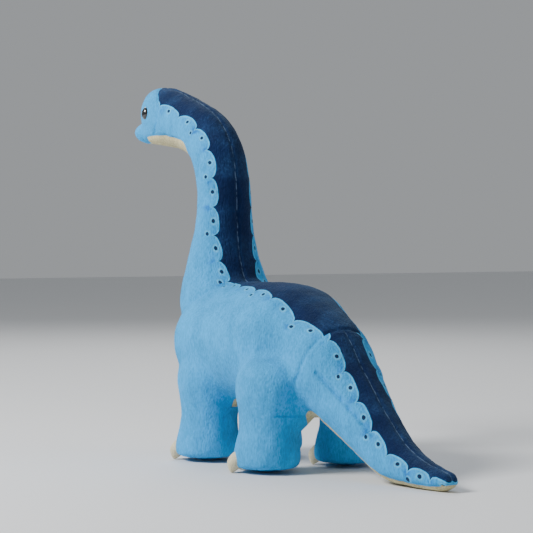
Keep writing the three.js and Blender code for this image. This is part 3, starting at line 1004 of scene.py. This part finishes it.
def plush(name, colour, streaks, patches, sheen=0.12, tint=BLUE_GLOW):
    """A plush cloth: plain if it has a colour, and if it has none, printed, with pale thread at its seam."""
    made = bpy.data.materials.new(name)
    made.use_nodes = True
    tree = made.node_tree
    shader = tree.nodes["Principled BSDF"]
    nap = node(tree, "ShaderNodeGroup", node_tree=pile)
    # streaks sets how strong the painted light and shade along the nap is
    nap.inputs["Streaks"].default_value = streaks
    nap.inputs["Patches"].default_value = patches
    if colour is None:
        pattern = node(tree, "ShaderNodeGroup", node_tree=printed)
        near = attribute(tree, "seam").outputs["Fac"]
        broken = noise(tree, attribute(tree, "rest").outputs["Vector"], 240, 3)
        broken = ramp(tree, broken, 0.35, 0.6)
        line = value_of(tree, "MULTIPLY", ramp(tree, near, 0.55, 1.0), broken)
        line = value_of(tree, "MULTIPLY", line, THREAD_SHARE)
        cloth = mixed(tree, line, pattern.outputs["Color"], THREAD)
        wire(tree, cloth, nap.inputs["Cloth"])
    else:
        nap.inputs["Cloth"].default_value = colour
    wire(tree, nap.outputs["Color"], shader.inputs["Base Color"])
    wire(tree, nap.outputs["Roughness"], shader.inputs["Roughness"])
    bump = node(tree, "ShaderNodeBump")
    bump.inputs["Strength"].default_value = 0.9
    bump.inputs["Distance"].default_value = 0.8 * MM
    wire(tree, nap.outputs["Height"], bump.inputs["Height"])
    wire(tree, bump.outputs["Normal"], shader.inputs["Normal"])
    shader.inputs["Sheen Weight"].default_value = sheen
    shader.inputs["Sheen Roughness"].default_value = 0.45
    shader.inputs["Sheen Tint"].default_value = tint
    shader.inputs["Specular IOR Level"].default_value = 0.15
    return made


CREAM = (0.56, 0.50, 0.29, 1)
CLAW = (0.66, 0.60, 0.42, 1)
printed_plush = plush("printed plush", None, 0.13, 0.09)
sky_plush = plush("sky plush", SKY, 0.13, 0.09)
cream_plush = plush("cream plush", CREAM, 0.16, 0.1, tint=(1, 0.95, 0.85, 1))
claw_cloth = plush("claw cloth", CLAW, 0.08, 0.06, sheen=0.2, tint=(1, 0.97, 0.9, 1))


def plastic(name, colour, roughness, coat, grain):
    made = bpy.data.materials.new(name)
    made.use_nodes = True
    tree = made.node_tree
    shader = tree.nodes["Principled BSDF"]
    texture = node(tree, "ShaderNodeTexCoord").outputs["Object"]
    cloudy = noise(tree, texture, 160, 2)
    darker = tuple(c * 0.7 for c in colour[:3]) + (1,)
    wire(tree, mixed(tree, cloudy, colour, darker), shader.inputs["Base Color"])
    wire(tree, ramp(tree, cloudy, 0.3, 0.7, roughness, roughness + grain), shader.inputs["Roughness"])
    shader.inputs["Coat Weight"].default_value = coat
    shader.inputs["Coat Roughness"].default_value = 0.03
    return made


eye_plastic = plastic("polished eye", (0.006, 0.006, 0.008, 1), 0.06, 1.0, 0.04)
washer_plastic = plastic("moulded washer", (0.78, 0.77, 0.72, 1), 0.45, 0.0, 0.15)
print("materials:", [m.name for m in (printed_plush, sky_plush, cream_plush, claw_cloth, eye_plastic)])

# %% [markdown]
# ## From skin to panels
# Each panel takes its own faces of the skin. The shading normals come from the whole skin, so that panels
# meet without a false crease where the real toy has no seam.

# %% Split the skin
THREAD_WIDTH = 0.9 * MM
skin_normals = normals_of(skin.data)
back_near = np.exp(-((back_seam(rest) / THREAD_WIDTH) ** 2))
face_label = np.empty(len(skin.data.polygons), np.int32)
skin.data.attributes["panel"].data.foreach_get("value", face_label)
starts = np.empty(len(skin.data.polygons), np.int32)
sizes = np.empty(len(skin.data.polygons), np.int32)
corners = np.empty(len(skin.data.loops), np.int32)
skin.data.polygons.foreach_get("loop_start", starts)
skin.data.polygons.foreach_get("loop_total", sizes)
skin.data.loops.foreach_get("vertex_index", corners)


def shade_smooth(mesh):
    mesh.polygons.foreach_set("use_smooth", np.ones(len(mesh.polygons), bool))


def keep_numbers(mesh, name, given):
    """Gives each point of the mesh a number, or a place if there are three for each."""
    given = np.asarray(given, np.float32)
    kind, field = ("FLOAT_VECTOR", "vector") if given.ndim == 2 else ("FLOAT", "value")
    mesh.attributes.new(name, kind, "POINT").data.foreach_set(field, given.ravel())


def panel(name, material, stretch):
    chosen = np.nonzero(face_label == PANEL_NUMBER[name])[0]
    faces = [corners[starts[i]:starts[i] + sizes[i]] for i in chosen]
    used = np.unique(np.concatenate(faces))
    new_index = np.zeros(len(rest), int)
    new_index[used] = np.arange(len(used))
    piece = new_object(name + "_cloth", rest[used], [tuple(new_index[face]) for face in faces])
    mesh = piece.data
    mesh.materials.append(material)
    shade_smooth(mesh)
    keep_numbers(mesh, "rest", rest[used])
    keep_numbers(mesh, "seam", back_near[used])
    if stretch:
        for key, given in zip(("scallop", "pitch", "outside"), print_numbers(rest[used], stretch)):
            keep_numbers(mesh, key, given)
    mesh.normals_split_custom_set_from_vertices([tuple(n) for n in skin_normals[used]])
    return piece


STRETCHES = {"torso": "body", "neck": "neck", "head": "neck", "tail": "tail"}
pieces = {}
for name in PANELS:
    stretch = STRETCHES.get(name.split("_")[0])
    if name.endswith(("panel", "strip", "jaw", "underside")):
        pieces[name] = panel(name, cream_plush, None)
    elif stretch:
        pieces[name] = panel(name, printed_plush, stretch)
    else:
        pieces[name] = panel(name, sky_plush, None)
bpy.data.objects.remove(skin)
print({name: len(piece.data.polygons) for name, piece in pieces.items()})

# %% [markdown]
# ## Eyes
# A safety eye is a polished dome with a flat back and a shank through the cloth, and a washer snaps onto the
# shank behind it. The rim of the dome lies just inside the cloth.

# %% Domes and washers
TURNED_SIDES = 48


def turned(name, profile, squeeze, centre, facing):
    """A round piece from a profile of radius and height, set facing outwards."""
    sides = TURNED_SIDES
    axis = Vector(facing).normalized()
    up = (Vector((0, 0, 1)) - axis * axis.z).normalized()
    basis = Matrix((up.cross(axis), up, axis)).transposed()
    points, faces = [], []
    for radius, height in profile:
        for k in range(sides):
            angle = 2 * math.pi * k / sides
            local = Vector((math.cos(angle) * radius * squeeze, math.sin(angle) * radius, height)) * MM
            points.append(tuple(Vector(centre) + basis @ local))
    for ring_number in range(len(profile) - 1):
        for k in range(sides):
            a, b = ring_number * sides + k, ring_number * sides + (k + 1) % sides
            faces.append((a, b, b + sides, a + sides))
    faces.append(tuple(range(sides))[::-1])
    faces.append(tuple(range((len(profile) - 1) * sides, len(profile) * sides)))
    piece = new_object(name, points, faces)
    shade_smooth(piece.data)
    return piece


EYE_RADIUS, EYE_BULGE, EYE_SQUEEZE = 5.6, 4.3, 0.86
dome = [(EYE_RADIUS * math.cos(a), EYE_BULGE * math.sin(a)) for a in np.linspace(0.0, 1.53, 16)]
eye_profile = [(1.9, -6.5), (2.0, -1.6), (5.2, -1.3), (5.55, -0.7)] + dome
washer_profile = [
    (2.3, -6.2), (5.4, -6.2), (5.5, -5.9), (5.5, -5.3), (5.3, -5.1), (2.6, -5.0), (2.3, -5.2),
]
for side, sign in (("left", 1), ("right", -1)):
    facing = (sign * 0.96, -0.24, 0.10)
    spot = Vector(at(nape, sign * 17.8, -81.5, 38.0))
    eye = turned("eye_bead_" + side, eye_profile, EYE_SQUEEZE, spot, facing)
    eye.data.materials.append(eye_plastic)
    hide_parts("eye_" + side)
    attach(eye, "head")
    washer = turned("washer_" + side, washer_profile, 1.0, spot, facing)
    washer.data.materials.append(washer_plastic)
    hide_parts("eye_washer_" + side)
    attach(washer, "head")
    print(side, "eye at", [round(v, 4) for v in spot])

# %% [markdown]
# ## Claws
# Each foot has three small stuffed claws sewn over its front edge. A claw is a drop shape that curves down to
# a blunt tip at the ground. It is made from a ball whose points are pushed into the drop, and it sits
# partly in the foot, as a sewn-on piece does.

# %% Make the claws
CLAW_ANGLES = {1: -40, 2: 14, 3: 66}
FRONT_CLAW_TURN = -20
CLAW_HIGH, CLAW_WIDE, CLAW_DEEP = 16.5, 13.5, 14.0
CLAW_CURVE = 5.5
CLAW_REACH_X, CLAW_REACH_Y = 20.5 * MM, 21.5 * MM


def claw(name, leg, angle):
    sign = 1 if hip[leg][0] > 0 else -1
    turn = math.radians(angle) * sign
    points, faces = unit_ball(40, 28)
    side, out, up = points.T
    height = (up + 1) / 2
    narrow = 0.52 + 0.48 * np.minimum(1, height * 1.9) ** 0.8
    drop = np.stack([
        side * narrow * CLAW_WIDE / 2,
        -(out * narrow * CLAW_DEEP / 2 + (1 - height) ** 1.4 * CLAW_CURVE),
        height * CLAW_HIGH + 0.2,
    ], axis=1) * MM
    heading = Matrix.Rotation(turn, 3, "Z")
    centre = Vector((
        hip[leg][0] + math.sin(turn) * CLAW_REACH_X,
        hip[leg][1] - 3 * MM - math.cos(turn) * CLAW_REACH_Y,
        0,
    ))
    set_down = [tuple(centre + heading @ Vector(p)) for p in drop]
    piece = new_object(name, set_down, faces)
    shade_smooth(piece.data)
    keep_numbers(piece.data, "rest", set_down)
    piece.data.materials.append(claw_cloth)
    return piece


for leg in LEGS:
    for number, angle in CLAW_ANGLES.items():
        angle += FRONT_CLAW_TURN if leg.startswith("front") else 0
        piece = claw("%s_claw_%d" % (leg, number), leg, angle)
        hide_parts("%s_leg_claw_%d" % (leg, number))
        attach(piece, leg + "_leg")
print("claws:", len(LEGS) * len(CLAW_ANGLES))

# %% [markdown]
# ## What moves with what
# The torso panels ride on the torso and the soles on their legs. The neck, head, tail and tail tip panels and
# the other leg panels keep their points where they lie. The table below gives, for the neck, head, tail and
# tail tip panels, the two bodies and the zone at their hinge.

# %% Ride and blend
REPLACED = {
    "torso_left": ["torso_cover_left", "torso_filling"], "torso_right": ["torso_cover_right"],
    "belly_panel": ["belly_panel"],
    "neck_left": ["neck_cover_left", "neck_filling"], "neck_right": ["neck_cover_right"],
    "throat_strip": ["throat_strip"],
    "head_left": ["head_cover_left", "head_filling"], "head_right": ["head_cover_right"],
    "lower_jaw": ["lower_jaw"],
    "tail_left": ["tail_cover_left", "tail_filling"], "tail_right": ["tail_cover_right"],
    "tail_underside": ["tail_underside"],
    "tail_tip_left": ["tail_tip_cover_left", "tail_tip_filling"], "tail_tip_right": ["tail_tip_cover_right"],
    "tail_tip_underside": ["tail_tip_underside"],
}
for leg in LEGS:
    REPLACED[leg + "_leg_outer"] = [leg + "_leg_cover_outer", leg + "_leg_filling"]
    REPLACED[leg + "_leg_inner"] = [leg + "_leg_cover_inner"]
    REPLACED[leg + "_leg_sole"] = [leg + "_leg_sole"]


def zone(plane, before, after):
    """Start and end of a bending zone, measured along a seam plane's normal in millimetres."""
    return plane[0] + plane[1] * before * MM, plane[0] + plane[1] * after * MM


BENDS = {
    "neck": ("torso", "neck", *zone(NECK_SEAM, 3, 34)),
    "throat": ("torso", "neck", *zone(NECK_SEAM, 3, 34)),
    "head": ("neck", "head", *zone(NAPE_SEAM, 0, 34)),
    "lower": ("neck", "head", *zone(NAPE_SEAM, 0, 34)),
    "face": ("neck", "head", *zone(NAPE_SEAM, 0, 34)),
    "tail": ("torso", "tail", *zone(HIP_SEAM, 0, 34)),
    "tail_tip": ("tail", "tail_tip", *zone(TIP_SEAM, 0, 26)),
}
for name, piece in pieces.items():
    if name in REPLACED:
        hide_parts(*REPLACED[name])
    leg = next((leg for leg in LEGS if name.startswith(leg)), None)
    key = "tail_tip" if name.startswith("tail_tip") else name.split("_")[0]
    if leg and name.endswith("sole"):
        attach(piece, leg + "_leg")
    elif leg:
        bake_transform(piece)
    elif key in BENDS:
        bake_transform(piece)
    else:
        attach(piece, "torso")
print("pieces:", len(pieces))
